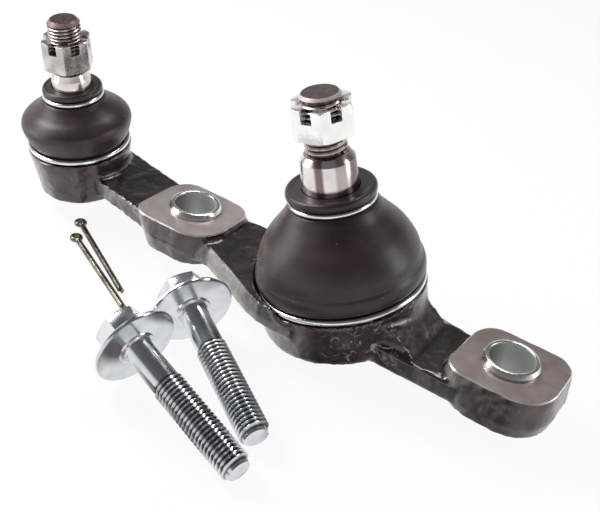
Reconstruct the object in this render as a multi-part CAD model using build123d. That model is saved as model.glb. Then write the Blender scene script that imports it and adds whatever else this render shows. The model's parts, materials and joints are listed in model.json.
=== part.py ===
"""Forged steering-knuckle arm with a large and a small ball joint.

Lengths are in millimetres.  Everything is laid out in the arm's own frame first: X runs along
the arm towards the end boss, Z is the normal of the two machined boss faces, and the origin is
the middle of the end boss's sleeve rim.  The finished pieces are then moved, unturned, so that
the arm stands on z = 0 with its bounding box centred on the Z axis.
"""

import os
from dataclasses import dataclass
from math import acos, atan2, cos, degrees, hypot, radians, sin, sqrt, tan

from build123d import *

# ------------------------------------------------------------------ driving sizes
RUN = 0.3            # running gap between pieces that move against each other
BALL_RUN = 0.08      # running gap between a ball and its seat
SWING = 25.0         # how far a stud tilts each way, degrees

# bosses and sleeves
MID_BOSS_X = -148.0          # middle boss, from the end boss
BOSS_FACE = -2.6             # machined face, below the sleeve rim
END_CORNERS = [(-20.2, -19.9), (-18.5, 17.3), (21.4, 17.3), (21.4, -19.9)]
MID_CORNERS = [(-20.0, -20.3), (-18.5, 16.2), (20.4, 16.2), (20.4, -20.3)]
FACE_RADII = (8.0, 11.0, 10.0, 15.0)       # corner radii of the machined face
PARTING_RADII = (15.0, 12.0, 11.0, 17.0)   # of the widest outline, at the parting line
UNDER_RADII = (14.0, 10.5, 9.5, 15.5)      # of the flat underneath
BOSS_DRAFT = 5.0
BOSS_UNDER_DRAFT = 14.0
FACE_BEVEL = 0.5
END_PARTING, END_BOTTOM = -14.2, -20.4
MID_PARTING, MID_BOTTOM = -10.7, -19.0
SLEEVE_R = 10.0              # body of the sleeve and its rim
SLEEVE_COLLAR_W = 1.2        # how far the collar stands out past the sleeve
SLEEVE_COLLAR_R = SLEEVE_R + SLEEVE_COLLAR_W
SLEEVE_BORE_R = 8.7
SLEEVE_BEVEL = 1.3
COLLAR_SINK = 0.5            # counterbore in the boss face that seats the collar
COLLAR_FIT = 0.05            # radial room round the collar in it

# links: top and underside of each, and plan outlines, anticlockwise from the front left
LINK_TOP = -5.0
SMALL_LINK_UNDER = -14.4
LARGE_LINK_UNDER = -14.8
END_LINK_TOP, END_LINK_UNDER = -8.5, -18.2
LINK_DRAFT = 9.0
LINK_BEVEL = 1.0
LARGE_LINK_PARTING = -10.5   # parting line of the link that flares into the large housing
SMALL_LINK = [(-210.0, -7.0), (-166.0, -15.9), (-148.0, -16.4), (-148.0, 14.2), (-166.0, 14.8), (-203.4, 22.3),
              (-210.0, 22.3)]
LARGE_LINK_CREST = [(-148.0, -15.0), (-127.0, -16.4), (-111.4, -23.5), (-98.6, -29.8), (-91.0, -33.2), (-74.5, -33.2),
                    (-74.5, 16.0), (-100.5, 14.0), (-129.0, 12.5), (-148.0, 13.0)]
LARGE_LINK_FOOT = [(-148.0, -17.6), (-127.0, -18.6), (-111.4, -25.4), (-98.0, -31.8), (-90.5, -34.4), (-74.5, -34.4),
                   (-74.5, 18.6), (-100.5, 16.5), (-129.0, 15.0), (-148.0, 15.5)]
END_LINK = [(-60.5, -20.5), (0.0, -20.5), (0.0, 13.0), (-20.0, 13.8), (-39.8, 16.6), (-46.0, 20.4), (-60.5, 21.0)]
GUSSET = [(-54.5, -12.0), (-29.5, -9.2), (-40.5, -1.0), (-54.5, -1.0)]      # side view: X and Z
GUSSET_FRONT, GUSSET_BACK = -17.5, 12.0

# loose fasteners
BOLT_THREAD_R, BOLT_SHANK_R, BOLT_LENGTH, BOLT_SHANK = 6.0, 5.43, 62.0, 19.0
BOLT_PITCH, BOLT_THREAD_DEPTH, BOLT_CREST = 1.75, 0.95, 0.35
BOLT_END_CHAMFER = 1.2
BOLT_FLANGE_R, BOLT_FLANGE_T, BOLT_CONE_T = 16.6, 1.8, 2.2
BOLT_AF, BOLT_HEAD = 17.0, 8.6
FRONT_BOLT, FRONT_BOLT_TURN = (-82.7, -84.7), -14.4      # middle of each on the floor, and its direction
REAR_BOLT, REAR_BOLT_TURN = (-84.7, -61.1), -28.9
FRONT_PIN, FRONT_PIN_TURN = (-192.7, -24.6), -25.7
REAR_PIN, REAR_PIN_TURN = (-199.8, -14.6), -28.4
PIN_WIRE_R, PIN_EYE_R, PIN_NECK_R, PIN_LEG, PIN_SPLIT = 1.2, 1.65, 2.4, 54.0, 0.12


@dataclass
class Joint_:
    """Sizes of one ball joint, in its own frame: z is the height above the lower ring."""

    name: str
    at: tuple            # middle of the lower ring, arm frame
    lean_x: float        # lean of the axis along the arm, degrees
    lean_y: float        # lean of the axis across the arm, degrees
    ball_r: float
    ball_z: float
    body_r: float        # turned rim under the lower ring
    neck_r: float        # spigot inside the boot's foot
    neck_top: float
    seat_r: float        # outside of the bearing shell
    seat_top: float
    disc_top: float
    disc_under: float
    spring_h: float
    plug_t: float
    lip_t: float         # rolled lip under the plug
    base_rim: float      # width of the flat ring round the plug
    lower_ring_r: float
    lower_wire_r: float
    upper_ring_r: float
    upper_ring_z: float
    upper_wire_r: float
    stud_neck_r: float
    taper_z: float       # start of the 1:10 taper
    taper_r: float
    taper_top: float
    shoulder_w: float    # chamfer between taper and thread
    shoulder_h: float
    thread_r: float
    tip_z: float
    tip_r: float
    hole_r: float
    hole_z: float
    nut_z: float
    nut_h: float
    nut_af: float
    nut_turn: float      # one corner's direction, degrees from the joint's x
    slot_w: float
    slot_d: float
    crown: tuple         # outside of the boot from its foot to its neck: (radius, height)
    lining: tuple        # inside of the boot, from its neck down
    lip_r: float         # boot's lip above the upper ring
    lip_top: float
    wall: tuple          # forged wall under the turned rim: (radius, height) down to the base

    @property
    def axis(self):
        v = Vector(tan(radians(self.lean_x)), tan(radians(self.lean_y)), 1.0)
        return v.normalized()

    @property
    def plane(self):
        z = self.axis
        x = (Vector(1, 0, 0) - z * z.X).normalized()
        return Plane(origin=self.at, x_dir=x, z_dir=z)

    @property
    def shoulder_z(self):
        return -self.lower_wire_r - 0.5

    @property
    def plug_top(self):
        return self.disc_under - self.spring_h

    @property
    def plug_under(self):
        return self.plug_top - self.plug_t

    @property
    def base_z(self):
        return self.plug_under - self.lip_t

    @property
    def base_r(self):
        return self.seat_r + self.base_rim

    def reach(self, z):
        """Furthest that the tilted neck comes out at a height, with its running gap."""
        return self.stud_neck_r / cos(radians(SWING)) + (z - self.ball_z) * tan(radians(SWING)) + RUN

    @property
    def mouth_r(self):
        return self.reach(self.seat_top)

    def taper_at(self, z):
        return self.taper_r - (z - self.taper_z) / 20.0


LARGE = Joint_(
    "large", (-74.27, 0.0, -1.08), -14.05, -5.66, ball_r=15.0, ball_z=0.5, body_r=33.9, neck_r=28.5, neck_top=10.0,
    seat_r=18.0, seat_top=8.0, disc_top=-12.0, disc_under=-17.2, spring_h=1.8, plug_t=3.3, lip_t=0.6, base_rim=4.4,
    lower_ring_r=32.6, lower_wire_r=1.2, upper_ring_r=16.4, upper_ring_z=35.8, upper_wire_r=1.0, stud_neck_r=9.5,
    taper_z=30.0, taper_r=11.6, taper_top=52.3, shoulder_w=1.9, shoulder_h=2.4, thread_r=8.0, tip_z=78.1, tip_r=6.75,
    hole_r=1.6, hole_z=73.2, nut_z=62.2, nut_h=12.2, nut_af=22.0, nut_turn=-58.0, slot_w=4.5, slot_d=5.0,
    crown=((33.5, 4.2), (32.7, 9.8), (29.9, 17.6), (23.6, 26.0), (18.9, 31.2)),
    lining=((17.6, 29.2), (22.6, 24.0), (27.6, 16.4), (30.1, 9.6)), lip_r=17.6, lip_top=40.8,
    wall=((33.9, -17.4), (32.7, -19.8), (29.9, -20.8), (23.4, -20.8)))
SMALL = Joint_(
    "small", (-215.12, 0.0, 3.88), -4.28, -6.58, ball_r=12.5, ball_z=-3.0, body_r=22.8, neck_r=17.7, neck_top=7.0,
    seat_r=15.0, seat_top=4.0, disc_top=-13.0, disc_under=-18.0, spring_h=1.7, plug_t=3.6, lip_t=0.7, base_rim=3.0,
    lower_ring_r=21.6, lower_wire_r=1.1, upper_ring_r=12.3, upper_ring_z=22.65, upper_wire_r=1.0, stud_neck_r=7.4,
    taper_z=20.0, taper_r=8.85, taper_top=31.0, shoulder_w=1.2, shoulder_h=2.6, thread_r=7.0, tip_z=57.0, tip_r=5.4,
    hole_r=1.6, hole_z=52.5, nut_z=35.6, nut_h=13.0, nut_af=19.0, nut_turn=-52.0, slot_w=4.0, slot_d=4.8,
    crown=((22.7, 4.4), (24.1, 8.6), (22.7, 12.8), (18.0, 16.4), (14.0, 19.4)),
    lining=((13.0, 17.6), (17.6, 14.2), (20.8, 11.0), (21.4, 7.6)), lip_r=12.9, lip_top=26.9,
    wall=((22.8, -5.6), (22.0, -10.0), (20.8, -18.0), (20.3, -22.2)))
BOOT_WALL_FOOT = 1.4         # height at which the crown leaves the foot
LIP_SINK = 0.5               # how far the lip's top is dished


# ------------------------------------------------------------------ helpers
def turned(profile):
    """Solid of revolution about Z from a closed (radius, height) outline."""
    return revolve(make_face(profile), Axis.Z)


def polyline(points):
    """Closed outline in the XZ plane."""
    pts = [Vector(r, 0, z) for r, z in points]
    return Polyline(*pts, close=True)


def rounded(corners, radii, z):
    """Face of a polygon with its own radius on each corner, at a height."""
    pts = [Vector(x, y, z) for x, y in corners]
    face = make_face(Polyline(*pts, close=True))
    for p, radius in zip(pts, radii):
        corner = face.vertices().sort_by(lambda v, p=p: (Vector(v) - p).length)[0]
        face = fillet(corner, radius)
    return face


def hexagon(across_flats, turn):
    """Hexagon with one corner at the angle turn."""
    return RegularPolygon(across_flats / sqrt(3), 6, rotation=turn)


def cone_cut(radius, angle, z, up):
    """Double chamfer of a nut or bolt head: what is left inside a wide cone."""
    reach = radius * 2.0
    rise = reach * tan(radians(angle))
    sign = 1 if up else -1
    far = z - sign * 60.0
    return turned(polyline([(0, z), (radius, z), (radius + reach, z - sign * rise), (radius + reach, far), (0, far)]))


# ------------------------------------------------------------------ ball joints
def ring(j, upper):
    radius, wire, z = (j.upper_ring_r, j.upper_wire_r, j.upper_ring_z) if upper else (j.lower_ring_r, j.lower_wire_r, 0.0)
    return Pos(0, 0, z) * Torus(radius, wire)


def boot(j):
    """Rubber bellows: foot under the lower ring, neck groove under the upper ring, dished lip."""
    foot_out = j.lower_ring_r - j.lower_wire_r - RUN
    foot_in = j.neck_r + RUN
    foot_z = j.shoulder_z + RUN
    neck_out = j.upper_ring_r - j.upper_wire_r - RUN
    groove = j.upper_wire_r + RUN
    low, high = j.upper_ring_z - groove, j.upper_ring_z + groove
    grip = j.upper_ring_z - 1.6
    grip_r, grip_top_r = j.taper_at(grip) + RUN, j.taper_at(j.lip_top) + RUN

    def at(r, z):
        return Vector(r, 0, z)

    shelf = neck_out + 0.8
    middle = (grip_top_r + j.lip_r) / 2
    outline = [Spline(at(foot_out, BOOT_WALL_FOOT), *[at(r, z) for r, z in j.crown], at(shelf, low)),
               Polyline(at(shelf, low), at(neck_out, low), at(neck_out, high), at(shelf, high)),
               Spline(at(shelf, high), at(j.lip_r, (high + j.lip_top) / 2), at(j.lip_r - 0.9, j.lip_top)),
               Spline(at(j.lip_r - 0.9, j.lip_top), at(middle, j.lip_top - LIP_SINK), at(grip_top_r, j.lip_top)),
               Line(at(grip_top_r, j.lip_top), at(grip_r, grip)),
               Spline(at(grip_r, grip), *[at(r, z) for r, z in j.lining], at(foot_in, BOOT_WALL_FOOT)),
               Polyline(at(foot_in, BOOT_WALL_FOOT), at(foot_in, foot_z), at(foot_out, foot_z),
                        at(foot_out, BOOT_WALL_FOOT))]
    return turned(outline)


def ball_stud(j):
    """Ball, waisted neck, 1:10 taper, thread core of full size and a chamfered end with a pin hole."""
    neck_z = j.ball_z + sqrt(j.ball_r ** 2 - j.stud_neck_r ** 2)
    small_r = j.taper_at(j.taper_top)
    stem = turned(polyline([(0, j.ball_z), (j.stud_neck_r, j.ball_z), (j.stud_neck_r, j.taper_z - 5.0),
                            (j.taper_r, j.taper_z), (small_r, j.taper_top),
                            (small_r - j.shoulder_w, j.taper_top + j.shoulder_h),
                            (j.thread_r, j.taper_top + j.shoulder_h), (j.thread_r, j.tip_z - (j.thread_r - j.tip_r)),
                            (j.tip_r, j.tip_z), (0, j.tip_z)]))
    flat = j.ball_r * 0.93
    ball = Pos(0, 0, j.ball_z) * Sphere(j.ball_r) - Pos(0, 0, j.ball_z - flat - 10) * Cylinder(j.ball_r, 20)
    stud = ball + stem
    across = Rot(0, 0, j.nut_turn + 90) * Rot(0, 90, 0) * Cylinder(j.hole_r, j.thread_r * 3)
    return stud - Pos(0, 0, j.hole_z) * across


def castle_nut(j):
    """Hexagon nut whose upper part is cut by six slots at the middle of its flats."""
    corner = j.nut_af / sqrt(3)
    top = j.nut_z + j.nut_h
    nut = Pos(0, 0, j.nut_z) * extrude(hexagon(j.nut_af, j.nut_turn), j.nut_h)
    nut = nut & cone_cut(corner * 0.93, 30, top, True) & cone_cut(corner * 0.93, 30, j.nut_z, False)
    nut -= Pos(0, 0, j.nut_z) * Cylinder(j.thread_r + 0.05, j.nut_h, align=(Align.CENTER, Align.CENTER, Align.MIN))
    slot = Pos(0, 0, top - j.slot_d / 2 + 0.5) * Box(corner * 3, j.slot_w, j.slot_d + 1.0)
    for k in range(3):
        nut -= Rot(0, 0, j.nut_turn + 30 + 60 * k) * slot
    return nut


def bearing_shell(j):
    ring_ = turned(polyline([(0, j.disc_top), (j.seat_r, j.disc_top), (j.seat_r, j.seat_top), (0, j.seat_top)]))
    mouth = turned(polyline([(0, j.ball_z), (j.reach(j.ball_z), j.ball_z), (j.reach(j.neck_top), j.neck_top),
                             (0, j.neck_top)]))
    return ring_ - Pos(0, 0, j.ball_z) * Sphere(j.ball_r + BALL_RUN) - mouth


def pressure_disc(j):
    disc = turned(polyline([(0, j.disc_under), (j.seat_r - 0.4, j.disc_under), (j.seat_r - 0.4, j.disc_top), (0, j.disc_top)]))
    return disc - Pos(0, 0, j.ball_z) * Sphere(j.ball_r + BALL_RUN)


def disc_spring(j):
    r_in, r_out, t = j.seat_r * 0.45, j.seat_r - 0.8, 0.8
    z1, z0 = j.disc_under, j.plug_top
    return turned(polyline([(r_in, z1), (r_out, z0 + t), (r_out, z0), (r_in, z1 - t)]))


def base_plug(j):
    dish = j.plug_t * 0.4
    return turned(polyline([(0, j.plug_top), (j.seat_r, j.plug_top), (j.seat_r, j.plug_under),
                            (j.seat_r * 0.62, j.plug_under), (j.seat_r * 0.52, j.plug_under + dish), (0, j.plug_under + dish)]))


def housing_blank(j):
    """Outside of a housing: spigot for the boot, turned rim, forged wall and base."""
    s = j.shoulder_z
    return turned(polyline([(0, j.base_z), (0, j.neck_top), (j.mouth_r + 3.6, j.neck_top), (j.neck_r, 3.2),
                            (j.neck_r, s), (j.body_r, s), *j.wall, (j.base_r, j.base_z)]))


def housing_bore(j):
    """What is cut from a housing: seat bore from below, rolled lip and the stud's mouth."""
    flare = j.reach(j.neck_top)
    return turned(polyline([(0, j.base_z - 1), (j.seat_r - 0.9, j.base_z - 1), (j.seat_r - 0.9, j.plug_under),
                            (j.seat_r, j.plug_under), (j.seat_r, j.seat_top), (j.mouth_r, j.seat_top),
                            (flare, j.neck_top), (flare, j.neck_top + 1), (0, j.neck_top + 1)]))


def boot_room(j):
    """Turned clearance round the boot, cut out of the links above the rim."""
    outer = max(j.lower_ring_r + j.lower_wire_r, *[r for r, _ in j.crown]) + 0.7
    return Pos(0, 0, j.shoulder_z) * Cylinder(outer, 60, align=(Align.CENTER, Align.CENTER, Align.MIN))


def base_room(j):
    """Room under a housing's base, cut out of the links' undersides."""
    return Pos(0, 0, j.base_z) * Cylinder(j.base_r, 60, align=(Align.CENTER, Align.CENTER, Align.MAX))


# ------------------------------------------------------------------ arm
def boss(x, corners, parting, bottom):
    """Forged boss: drafted from its machined face out to the parting line, and in again below it."""
    middle = [(x + px, py) for px, py in corners]
    wide = inset(middle[::-1], -tan(radians(BOSS_DRAFT)) * (BOSS_FACE - parting))[::-1]
    under = inset(wide[::-1], tan(radians(BOSS_UNDER_DRAFT)) * (parting - bottom))[::-1]
    face = rounded(middle, FACE_RADII, BOSS_FACE)
    widest = rounded(wide, PARTING_RADII, parting)
    upper = loft([widest, face])
    upper = chamfer(upper.faces().sort_by(Axis.Z)[-1].edges(), FACE_BEVEL)
    return upper + loft([rounded(under, UNDER_RADII, bottom), widest])


def inset(points, distance):
    """Outline with every straight side moved inwards; the points run anticlockwise."""
    lines = []
    for (x0, y0), (x1, y1) in zip(points, points[1:] + points[:1]):
        run = hypot(x1 - x0, y1 - y0)
        nx, ny = -(y1 - y0) / run, (x1 - x0) / run
        lines.append((nx, ny, nx * x0 + ny * y0 + distance))
    corners = []
    for (a0, b0, c0), (a1, b1, c1) in zip(lines[-1:] + lines[:-1], lines):
        det = a0 * b1 - a1 * b0
        corners.append(((c0 * b1 - c1 * b0) / det, (a0 * c1 - a1 * c0) / det))
    return corners


def drafted(points, top, under):
    """Forged wall below a parting outline, leaning inwards by the draft."""
    return skirt(inset(points, (top - under) * tan(radians(LINK_DRAFT))), points, under, top)


def link(points, top, under):
    body = drafted(points, top, under)
    return chamfer(body.faces().sort_by(Axis.Z)[-1].edges(), LINK_BEVEL)


def skirt(lower, upper, z_low, z_high):
    """Sloping flank between a wide parting outline and a narrower top outline."""
    a = make_face(Polyline(*[Vector(x, y, z_low) for x, y in lower], close=True))
    b = make_face(Polyline(*[Vector(x, y, z_high) for x, y in upper], close=True))
    return loft([a, b])


def gusset():
    """Wedge that carries the end link up the large housing's wall."""
    side = make_face(Polyline(*[Vector(x, z, 0) for x, z in GUSSET], close=True))
    return Pos(0, GUSSET_BACK, 0) * Rot(90, 0, 0) * extrude(side, GUSSET_BACK - GUSSET_FRONT)


def arm_forging():
    """The whole forging, machined: bosses, links, housings, bores and counterbores."""
    body = boss(0.0, END_CORNERS, END_PARTING, END_BOTTOM) + boss(MID_BOSS_X, MID_CORNERS, MID_PARTING, MID_BOTTOM)
    body += link(SMALL_LINK, LINK_TOP, SMALL_LINK_UNDER)
    body += skirt(LARGE_LINK_FOOT, LARGE_LINK_CREST, LARGE_LINK_PARTING, LINK_TOP)
    body += drafted(LARGE_LINK_FOOT, LARGE_LINK_PARTING, LARGE_LINK_UNDER)
    body += link(END_LINK, END_LINK_TOP, END_LINK_UNDER)
    body += gusset()
    for j in (LARGE, SMALL):
        body -= j.plane.location * boot_room(j)
        body -= j.plane.location * base_room(j)
    for j in (LARGE, SMALL):
        body += j.plane.location * housing_blank(j)
    for j in (LARGE, SMALL):
        body -= j.plane.location * housing_bore(j)
    for x in (0.0, MID_BOSS_X):
        body -= Pos(x, 0, 0) * Cylinder(SLEEVE_R, 80)
        body -= Pos(x, 0, BOSS_FACE) * Cylinder(SLEEVE_COLLAR_R + COLLAR_FIT, 2 * COLLAR_SINK)
    return body


def sleeve(x, bottom):
    """Hollow locating sleeve: body pressed into the boss, collar on its face, bevelled rim."""
    rim = SLEEVE_R - 0.1
    seat = BOSS_FACE - COLLAR_SINK
    profile = [(SLEEVE_BORE_R, bottom), (SLEEVE_R, bottom), (SLEEVE_R, seat), (SLEEVE_COLLAR_R, seat),
               (SLEEVE_COLLAR_R, -SLEEVE_BEVEL), (rim, 0), (SLEEVE_BORE_R + 0.5, 0), (SLEEVE_BORE_R, -0.6)]
    return Pos(x, 0, 0) * turned(polyline(profile))


# ------------------------------------------------------------------ loose fasteners
def thread_outline():
    """Half section of a bolt's thread: one groove for each pitch, from the shank to the end."""
    root = BOLT_THREAD_R - BOLT_THREAD_DEPTH
    flank = (BOLT_PITCH - BOLT_CREST) / 2
    count = int((BOLT_LENGTH - BOLT_END_CHAMFER - BOLT_SHANK) / BOLT_PITCH)
    start = BOLT_LENGTH - BOLT_END_CHAMFER - count * BOLT_PITCH
    points = [(BOLT_SHANK_R, start - 0.4), (BOLT_THREAD_R, start)]
    for k in range(count):
        z = start + k * BOLT_PITCH
        points += [(root, z + flank), (BOLT_THREAD_R, z + 2 * flank), (BOLT_THREAD_R, z + BOLT_PITCH)]
    return points


def flange_bolt():
    """Flange bolt along +Z from the flange's bearing face; its thread is drawn as rings."""
    corner = BOLT_AF / sqrt(3)
    f, c = -BOLT_FLANGE_T, -BOLT_FLANGE_T - BOLT_CONE_T
    top = c - BOLT_HEAD
    body = turned(polyline([(0, c), (BOLT_AF / 2 + 0.6, c), (BOLT_FLANGE_R, f), (BOLT_FLANGE_R, 0),
                            (BOLT_SHANK_R + 1.0, 0), (BOLT_SHANK_R, 1.2), *thread_outline(),
                            (BOLT_THREAD_R - BOLT_END_CHAMFER, BOLT_LENGTH), (0, BOLT_LENGTH)]))
    head = Pos(0, 0, top) * extrude(hexagon(BOLT_AF, 12), BOLT_HEAD + 0.8)
    head = head & cone_cut(corner * 0.92, 26, top, False)
    dimple = Pos(0, 0, top) * Cylinder(BOLT_AF * 0.30, 1.2)
    return body + head - dimple


def split_pin():
    """Split pin in the XY plane: eye at the origin, legs along +X, half-round wire folded on itself."""
    g = PIN_SPLIT / 2
    a = degrees(acos((g + PIN_NECK_R) / (PIN_EYE_R + PIN_NECK_R)))
    s, c = sin(radians(a)), cos(radians(a))
    neck = (PIN_EYE_R + PIN_NECK_R) * s          # distance from the eye's middle to the end of the legs' straight part
    right = (PIN_EYE_R * c, PIN_EYE_R * s)
    legs = Line((g, -PIN_LEG), (g, -neck))
    turn = JernArc((g, -neck), (0, 1), PIN_NECK_R, -a)
    eye = JernArc(turn @ 1, turn % 1, PIN_EYE_R, 180 + 2 * a)
    back = JernArc(eye @ 1, eye % 1, PIN_NECK_R, -a)
    other = Line(back @ 1, (-g, -PIN_LEG + 1.5))
    path = Wire([legs, turn, eye, back, other])
    start = Plane(origin=(g, -PIN_LEG, 0), x_dir=(1, 0, 0), z_dir=(0, 1, 0))
    half = start * make_face([Line((0, -PIN_WIRE_R), (0, PIN_WIRE_R)), ThreePointArc((0, PIN_WIRE_R), (PIN_WIRE_R, 0), (0, -PIN_WIRE_R))])
    return Rot(0, 0, 90) * sweep(half, path=path)


def laid(piece, start, end):
    """Places a piece whose +Z runs from start to end."""
    d = (Vector(end) - Vector(start)).normalized()
    side = Vector(0, 0, 1).cross(d).normalized()
    return Plane(origin=start, x_dir=side, z_dir=d).location * piece


# ------------------------------------------------------------------ assembly
def assembly():
    """Every piece by name, moved so that the arm stands on z = 0, and the move itself."""
    parts = {"arm_forging": arm_forging(), "end_sleeve": sleeve(0.0, END_BOTTOM),
             "middle_sleeve": sleeve(MID_BOSS_X, MID_BOTTOM)}
    for j in (LARGE, SMALL):
        place = j.plane.location
        parts[j.name + "_bearing_shell"] = place * bearing_shell(j)
        parts[j.name + "_pressure_disc"] = place * pressure_disc(j)
        parts[j.name + "_disc_spring"] = place * disc_spring(j)
        parts[j.name + "_base_plug"] = place * base_plug(j)
        parts[j.name + "_lower_ring"] = place * ring(j, False)
        parts[j.name + "_boot"] = place * boot(j)
        parts[j.name + "_upper_ring"] = place * ring(j, True)
        parts[j.name + "_ball_stud"] = place * ball_stud(j)
        parts[j.name + "_castle_nut"] = place * castle_nut(j)
    floor = parts["arm_forging"].bounding_box().min.Z
    # the bolts lie on their flange's edge and on the end of their thread
    tilt = atan2(BOLT_FLANGE_R - BOLT_THREAD_R, BOLT_LENGTH - BOLT_END_CHAMFER)
    for name, (mx, my), turn in (("front_bolt", FRONT_BOLT, FRONT_BOLT_TURN), ("rear_bolt", REAR_BOLT, REAR_BOLT_TURN)):
        ux, uy = cos(radians(turn)), sin(radians(turn))
        half = BOLT_LENGTH * cos(tilt) / 2
        start = (mx - ux * half, my - uy * half, floor + BOLT_FLANGE_R * cos(tilt))
        end = (mx + ux * half, my + uy * half, start[2] - BOLT_LENGTH * sin(tilt))
        parts[name] = laid(flange_bolt(), start, end)
    for name, (px, py), turn in (("front_split_pin", FRONT_PIN, FRONT_PIN_TURN),
                                 ("rear_split_pin", REAR_PIN, REAR_PIN_TURN)):
        parts[name] = Pos(px, py, floor + PIN_WIRE_R) * Rot(0, 0, turn) * split_pin()
    low = Vector(*[min(tuple(p.bounding_box().min)[k] for p in parts.values()) for k in range(3)])
    high = Vector(*[max(tuple(p.bounding_box().max)[k] for p in parts.values()) for k in range(3)])
    move = Vector(-(low.X + high.X) / 2, -(low.Y + high.Y) / 2, -low.Z)
    return {name: Pos(move) * piece for name, piece in parts.items()}, move


def main():
    os.makedirs("parts", exist_ok=True)
    parts, move = assembly()
    print("moved by", move)
    for name, piece in parts.items():
        box = piece.bounding_box()
        print(f"{name:24s} solids {len(piece.solids())} volume {piece.volume:10.1f}  "
              f"{box.min.X:8.2f} {box.min.Y:8.2f} {box.min.Z:7.2f} .. {box.max.X:8.2f} {box.max.Y:8.2f} {box.max.Z:7.2f}")
        export_step(piece, f"parts/{name}.step")


main()
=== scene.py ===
"""Looks for a forged steering arm that carries a large and a small ball joint.

Two flange bolts and two split pins lie beside the arm.  Lengths in this file are in millimetres
unless a name ends in _m, and every finished mesh is in metres in the model's own frame.
"""

from __future__ import annotations

import json
import logging
import math
from dataclasses import dataclass
from enum import Enum
from typing import Callable, Iterable, Sequence

import bpy
from mathutils import Matrix, Vector

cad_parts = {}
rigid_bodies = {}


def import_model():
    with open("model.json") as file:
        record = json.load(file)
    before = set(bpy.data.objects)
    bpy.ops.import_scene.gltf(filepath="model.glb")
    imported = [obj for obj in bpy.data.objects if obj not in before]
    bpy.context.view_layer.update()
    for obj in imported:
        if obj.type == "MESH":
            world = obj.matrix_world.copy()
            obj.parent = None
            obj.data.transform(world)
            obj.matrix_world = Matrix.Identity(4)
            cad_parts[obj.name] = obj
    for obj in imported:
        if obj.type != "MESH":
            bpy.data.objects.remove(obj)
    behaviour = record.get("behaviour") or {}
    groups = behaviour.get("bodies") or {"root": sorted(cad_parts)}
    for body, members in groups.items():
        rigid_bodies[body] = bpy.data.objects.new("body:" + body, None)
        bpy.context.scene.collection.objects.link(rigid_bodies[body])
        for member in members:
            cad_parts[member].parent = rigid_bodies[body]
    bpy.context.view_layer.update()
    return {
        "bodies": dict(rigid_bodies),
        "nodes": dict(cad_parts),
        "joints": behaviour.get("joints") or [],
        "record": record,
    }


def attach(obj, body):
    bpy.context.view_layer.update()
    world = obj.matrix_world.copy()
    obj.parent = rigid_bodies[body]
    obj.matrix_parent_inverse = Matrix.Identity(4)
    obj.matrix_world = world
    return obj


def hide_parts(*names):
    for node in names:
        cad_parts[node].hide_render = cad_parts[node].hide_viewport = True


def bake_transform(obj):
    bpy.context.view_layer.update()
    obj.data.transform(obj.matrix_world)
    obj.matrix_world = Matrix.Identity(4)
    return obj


Point = tuple[float, float, float]
Colour = tuple[float, float, float]
Outline = Sequence[tuple[float, float]]
PaintedReflectionBand = tuple[float, float, Colour]

LOG = logging.getLogger("arm_looks")
MM = 0.001
UP: Point = (0.0, 0.0, 1.0)
# The level direction towards the lit side: forging walls facing it get a pale painted reflection, boot walls
# facing towards and away from it a painted sheen, the large stud painted reflection stripes, and sleeve bores
# painted shade away from it.
PAINTED_LIGHT_SIDE: Point = (-0.889, -0.457, 0.0)
FRAME: dict = {}


class Cut(Enum):
    """What a Boolean step leaves of two closed pieces."""

    AWAY = "DIFFERENCE"
    TOGETHER = "UNION"
    SHARED = "INTERSECT"


# ------------------------------------------------------------------ shader building
class Level:
    """A number that varies over a surface; arithmetic on it adds Math nodes."""

    def __init__(self, graph: Graph, socket: bpy.types.NodeSocket) -> None:
        """Wraps one output socket.

        Args:
            graph: The nodes that the arithmetic joins.
            socket: The output that carries the number.
        """
        self.graph = graph
        self.socket = socket

    def math(self, operation: str, *others: Level | float, clamp: bool = False) -> Level:
        """Adds one Math node.

        Args:
            operation: The node's operation.
            others: The operands after this one.
            clamp: Whether the result is held between 0 and 1.

        Returns:
            The node's result.
        """
        settings = {"operation": operation, "use_clamp": clamp}
        node = self.graph.add("ShaderNodeMath", settings, dict(enumerate((self, *others))))
        return Level(self.graph, node.outputs[0])

    def __add__(self, other: Level | float) -> Level:
        """Sum."""
        return self.math("ADD", other)

    def __radd__(self, other: float) -> Level:
        """Sum with a plain number on the left."""
        return self.math("ADD", other)

    def __sub__(self, other: Level | float) -> Level:
        """Difference."""
        return self.math("SUBTRACT", other)

    def __rsub__(self, other: float) -> Level:
        """Difference from a plain number."""
        return self.math("MULTIPLY_ADD", -1.0, other)

    def __mul__(self, other: Level | float) -> Level:
        """Product."""
        return self.math("MULTIPLY", other)

    def __rmul__(self, other: float) -> Level:
        """Product with a plain number on the left."""
        return self.math("MULTIPLY", other)

    def __pow__(self, other: float) -> Level:
        """Power."""
        return self.math("POWER", other)

    def __abs__(self) -> Level:
        """Size without sign."""
        return self.math("ABSOLUTE")

    def rising(self, edge: float, width: float) -> Level:
        """Runs from 0 to 1 across a band centred on an edge.

        Args:
            edge: The value at the band's middle.
            width: The band's width.

        Returns:
            0 below the band and 1 above it.
        """
        return self.math("MULTIPLY_ADD", 1.0 / width, 0.5 - edge / width, clamp=True)


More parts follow.
